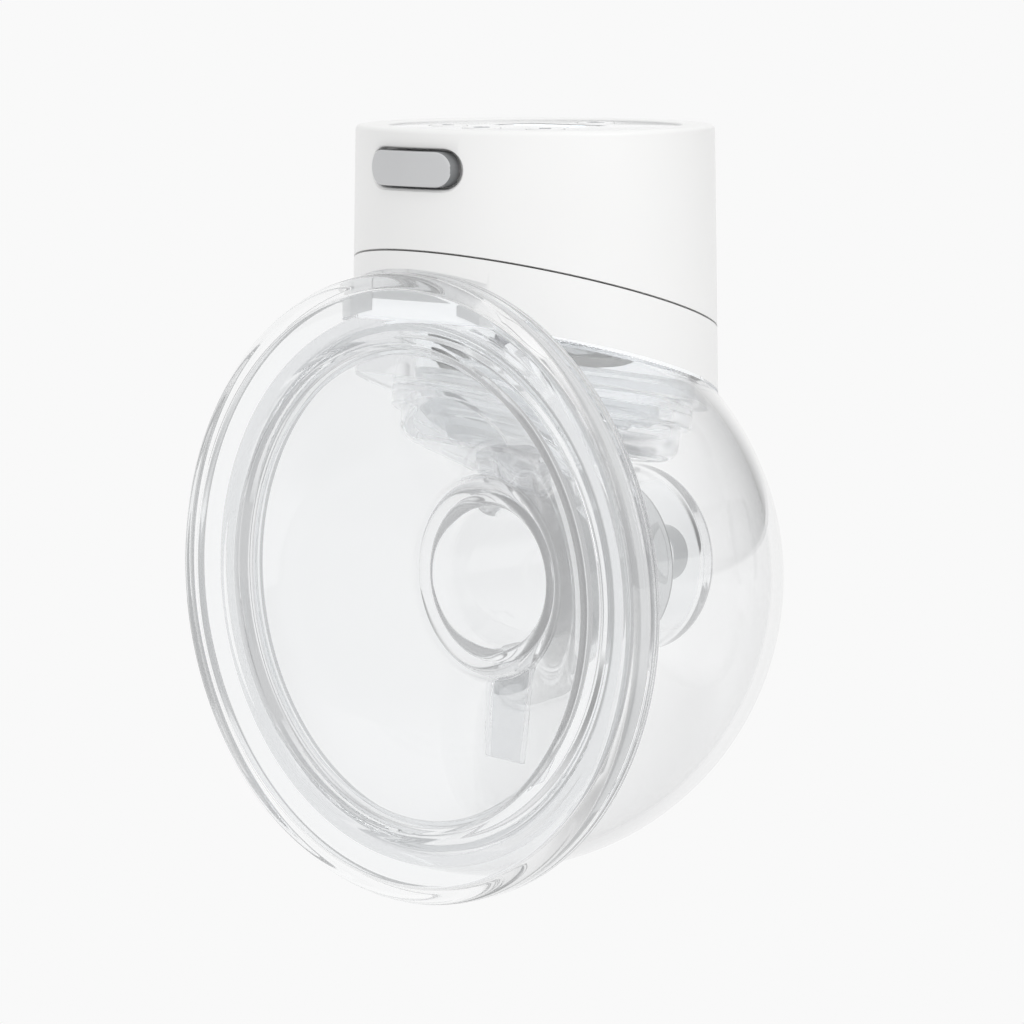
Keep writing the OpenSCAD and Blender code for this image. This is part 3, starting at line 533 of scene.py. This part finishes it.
for r_, z_ in ((1.35, zt0), (1.35, zt1), (1.0, zt1), (1.0, zt0)):
    ring.append([Vector((x + r_ * math.sin(a), UY + y + r_ * math.cos(a), z_)) * MM for a in [math.radians(35 + 290 * i / 40) for i in range(41)]])
vv = [p for row in ring for p in row]; ff = []
for k in range(4):
    for i in range(40): ff.append((k * 41 + i, k * 41 + i + 1, ((k + 1) % 4) * 41 + i + 1, ((k + 1) % 4) * 41 + i))
ff += [(0, 41, 82, 123), (40, 123 + 40, 82 + 40, 41 + 40)]
mark([obj_from("m", vv, ff), bar("m", x - 0.16, y + 0.3, x + 0.16, y + 1.5, zt0, zt1)], "power_mark", "power_key")
(x, y) = bxs[3]
wv = []
for s_ in (-0.55, 0.55):
    vv = []; ff = []
    for i in range(25):
        t = i / 24; xx = x - 1.4 + 2.8 * t; yy = y + s_ + 0.38 * math.sin(2 * math.pi * t)
        for dz in (zt0, zt1):
            for dy in (-0.15, 0.15): vv.append(Vector((xx, UY + yy + dy, dz)) * MM)
    for i in range(24):
        a, b = i * 4, (i + 1) * 4
        ff += [(a, b, b + 1, a + 1), (a + 2, a + 3, b + 3, b + 2), (a, a + 2, b + 2, b), (a + 1, b + 1, b + 3, a + 3)]
    ff += [(0, 1, 3, 2), (96, 98, 99, 97)]
    wv.append(obj_from("m", vv, ff))
mark(wv, "mode_mark", "mode_key")
win = box("window_lens", -8.5, UY + 3.5 - 4.75, 74.3, 8.5, UY + 3.5 + 4.75, 74.9)
bm = bmesh.new(); bm.from_mesh(win.data)
bmesh.ops.bevel(bm, geom=[e for e in bm.edges if abs(e.verts[0].co.z - e.verts[1].co.z) > 1e-4], offset=1.1 * MM, segments=8, affect='EDGES')
bmesh.ops.bevel(bm, geom=[e for e in bm.edges if min(e.verts[0].co.z, e.verts[1].co.z) > 74.8 * MM], offset=0.15 * MM, segments=3, affect='EDGES')
bm.to_mesh(win.data); bm.free()
smooth(win, 40); put(win, "motor_unit", M_LENS, ["display_window"])
segs = []
for i in range(5): segs.append(box("g", -6 + i * 2.0, UY + 1.2, 74.88, -4.8 + i * 2.0, UY + 1.8 + 0.75 * i, 74.93))
segs += [box("g", 5.0, UY + 1.2, 74.88, 7.0, UY + 1.5, 74.93), box("g", 5.0, UY + 4.5, 74.88, 7.0, UY + 4.8, 74.93), box("g", 5.0, UY + 1.5, 74.88, 5.3, UY + 4.5, 74.93),
         box("g", 6.7, UY + 1.5, 74.88, 7.0, UY + 4.5, 74.93), box("g", 5.6, UY + 4.8, 74.88, 6.4, UY + 5.2, 74.93), box("g", 5.5, UY + 1.7, 74.88, 6.5, UY + 3.6, 74.93)]
gl = join("display_bars", segs); put(gl, "motor_unit", M_GLOW)

# ---------------------------------------------------------------- spring coil in the release valve
def coil(name, cx, cy, z0, z1, R, w, turns, seg=26, cs=8):
    n = int(turns * seg); vv = []; ff = []
    for i in range(n + 1):
        a = 2 * math.pi * i / seg; z = z0 + w + (z1 - z0 - 2 * w) * i / n
        cen = Vector((cx + R * math.cos(a), cy + R * math.sin(a), z)); rd = Vector((math.cos(a), math.sin(a), 0))
        for k in range(cs):
            b = 2 * math.pi * k / cs; vv.append((cen + rd * (w * math.cos(b)) + Vector((0, 0, w * math.sin(b)))) * MM)
    for i in range(n):
        for k in range(cs):
            k2 = (k + 1) % cs; ff.append((i * cs + k, i * cs + k2, (i + 1) * cs + k2, (i + 1) * cs + k))
    ff += [tuple(range(cs))[::-1], tuple(n * cs + k for k in range(cs))]
    return obj_from(name, vv, ff)
sp = smooth(coil("valve_coil", 10.5, 47, 52.1, 54.3, 2.2, 0.22, 3.5), 60)
put(sp, "motor_unit", M_STEEL, ["valve_spring"])
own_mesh(sp)

# ---------------------------------------------------------------- remaining CAD nodes: fine bevel and finish
finish = {
    "base_plate": (M_PLATE_GLOW, "white_plastic"), "housing_screws": (M_STEEL, "steel"), "display_module": (M_DARK, "dark_plastic"), "main_pcb": (M_PCB, "board"),
    "pcb_screws": (M_STEEL, "steel"), "dome_switches": (M_STEEL, "steel"), "usb_port": (M_BRIGHT, "shell_metal"), "battery": (M_FOIL, "foil_cell"),
    "battery_foam": (M_FOAM, "foam"), "pump_motor": (M_STEEL, "steel"), "motor_shaft": (M_STEEL, "steel"), "eccentric": (M_INNER, "white_plastic"),
    "pump_head": (M_DARK, "dark_plastic"), "pump_rocker": (M_INNER, "white_plastic"), "pump_cups": (M_RUBB, "black_rubber"), "air_tube": (M_SILI, "silicone_small"),
    "motor_bracket": (M_INNER, "white_plastic"), "release_valve": (M_DARK, "dark_plastic"), "valve_plunger": (M_STEEL, "steel")}
bev = {"battery": 1.0, "pump_head": 0.5, "pump_motor": 0.5, "release_valve": 0.4, "motor_bracket": 0.4, "pump_rocker": 0.25, "display_module": 0.25, "usb_port": 0.12, "battery_foam": 0.15, "main_pcb": 0.1}
for n, (m, s) in finish.items():
    o = NODES[n]; o.data.materials.clear(); o.data.materials.append(m)
    for p in o.data.polygons: p.use_smooth = True
    w = o.modifiers.new("weld", 'WELD'); w.merge_threshold = 1e-6
    if n in bev:
        b = o.modifiers.new("bev", 'BEVEL'); b.width = bev[n] * MM; b.segments = 3; b.limit_method = 'ANGLE'; b.angle_limit = math.radians(40); b.harden_normals = False
    es = o.modifiers.new("es", 'EDGE_SPLIT'); es.split_angle = math.radians(35)

# ---------------------------------------------------------------- stage, light, camera
sc = bpy.context.scene
BG = 0.947
w = bpy.data.worlds.new("studio"); sc.world = w; w.use_nodes = True
nt = w.node_tree; bgn = nt.nodes["Background"]
def M(op, a, b=None, c=None):
    n = nt.nodes.new("ShaderNodeMath"); n.operation = op
    for i, x in enumerate((a, b, c)):
        if x is None: continue
        if isinstance(x, (int, float)): n.inputs[i].default_value = x
        else: nt.links.new(x, n.inputs[i])
    return n.outputs[0]
tc = nt.nodes.new("ShaderNodeTexCoord"); sx = nt.nodes.new("ShaderNodeSeparateXYZ"); nt.links.new(tc.outputs["Generated"], sx.inputs[0])
def step(src, a, b):
    r = nt.nodes.new("ShaderNodeMapRange"); r.interpolation_type = 'SMOOTHSTEP'
    r.inputs["From Min"].default_value = a; r.inputs["From Max"].default_value = b
    nt.links.new(src, r.inputs["Value"]); return r.outputs["Result"]
def dip(az, wide, zc, zw):
    """1 in the middle of a soft patch of the studio round (az, height zc), 0 away from it."""
    a = math.radians(az)
    dot = M('ADD', M('MULTIPLY', sx.outputs["X"], math.cos(a)), M('MULTIPLY', sx.outputs["Y"], math.sin(a)))
    near_ = step(dot, math.cos(math.radians(wide)), 1.0)
    zz = M('ABSOLUTE', M('SUBTRACT', sx.outputs["Z"], zc))
    return M('MULTIPLY', near_, M('SUBTRACT', 1.0, step(zz, zw * 0.3, zw)))
lp = nt.nodes.new("ShaderNodeLightPath")
dips = M('ADD', M('MULTIPLY', dip(72, 50, 0.05, 0.75), 0.75), M('MULTIPLY', dip(208, 45, 0.0, 0.75), 0.56))
other = M('MAXIMUM', M('SUBTRACT', 0.97, dips), 0.12)
val = M('ADD', M('MULTIPLY', lp.outputs["Is Camera Ray"], BG), M('MULTIPLY', M('SUBTRACT', 1.0, lp.outputs["Is Camera Ray"]), other))
nt.links.new(val, bgn.inputs["Strength"]); bgn.inputs["Color"].default_value = (1, 1, 1, 1)

bpy.ops.mesh.primitive_plane_add(size=120, location=(0, 0, -0.30))
floor = bpy.context.object; floor.name = "floor"
fm = bpy.data.materials.new("floor_pale"); fm.use_nodes = True; nt = fm.node_tree
for n in list(nt.nodes): nt.nodes.remove(n)
out = nt.nodes.new("ShaderNodeOutputMaterial"); em = nt.nodes.new("ShaderNodeEmission")
geo = nt.nodes.new("ShaderNodeNewGeometry"); ln = nt.nodes.new("ShaderNodeVectorMath"); ln.operation = 'LENGTH'
nt.links.new(geo.outputs["Position"], ln.inputs[0])
near = step(ln.outputs["Value"], 0.32, 0.75)
d2 = nt.nodes.new("ShaderNodeVectorMath"); d2.operation = 'DISTANCE'; nt.links.new(geo.outputs["Position"], d2.inputs[0]); d2.inputs[1].default_value = (0.34, 0.26, -0.3)
blob = M('SUBTRACT', 1.0, step(d2.outputs["Value"], 0.05, 0.42))
lp = nt.nodes.new("ShaderNodeLightPath")
oth = M('SUBTRACT', M('ADD', 0.82, M('MULTIPLY', near, BG - 0.82)), M('MULTIPLY', blob, 0.62))
val = M('ADD', M('MULTIPLY', lp.outputs["Is Camera Ray"], BG), M('MULTIPLY', M('SUBTRACT', 1.0, lp.outputs["Is Camera Ray"]), oth))
nt.links.new(val, em.inputs["Strength"]); em.inputs["Color"].default_value = (1, 1, 1, 1)
nt.links.new(em.outputs[0], out.inputs["Surface"]); floor.data.materials.append(fm)

def area(name, loc, target, size, power, col=(1, 1, 1)):
    l = bpy.data.lights.new(name, 'AREA'); l.shape = 'DISK'; l.size = size; l.energy = power; l.color = col
    o = bpy.data.objects.new(name, l); bpy.context.scene.collection.objects.link(o)
    o.location = loc; o.rotation_mode = 'QUATERNION'; o.rotation_quaternion = (Vector(target) - Vector(loc)).to_track_quat('-Z', 'Y'); return o
area("key_right", (1.3, 0.1, 0.7), (0, 0.03, 0.03), 0.9, 4.2)

cam = bpy.data.cameras.new("cam"); co = bpy.data.objects.new("cam", cam); sc.collection.objects.link(co)
a_, D_, zc_, yaw_, pit_, f_ = 44.49, 757.51, 106.06, 43.071, 7.001, 4677.0
a_, yaw_, pit_ = map(math.radians, (a_, yaw_, pit_))
C = Vector((D_ * math.sin(a_), -D_ * math.cos(a_), zc_)) * MM
F = Vector((-math.sin(yaw_) * math.cos(pit_), math.cos(yaw_) * math.cos(pit_), -math.sin(pit_)))
Rt = Vector((math.cos(yaw_), math.sin(yaw_), 0)); U = Rt.cross(F)
co.matrix_world = Matrix(((Rt.x, U.x, -F.x, C.x), (Rt.y, U.y, -F.y, C.y), (Rt.z, U.z, -F.z, C.z), (0, 0, 0, 1)))
cam.sensor_width = 36; cam.lens = f_ / 1024 * 36; cam.clip_start = 0.01; cam.clip_end = 200
sc.camera = co
sc.view_settings.view_transform = 'Standard'; sc.view_settings.look = 'None'
cy = sc.cycles
cy.max_bounces = 18; cy.transmission_bounces = 18; cy.glossy_bounces = 18; cy.diffuse_bounces = 3; cy.transparent_max_bounces = 48
cy.caustics_reflective = False; cy.caustics_refractive = True; cy.sample_clamp_indirect = 4.0; cy.blur_glossy = 0.3
try:
    cy.use_denoising = True; cy.denoiser = 'OPENIMAGEDENOISE'
except Exception: pass
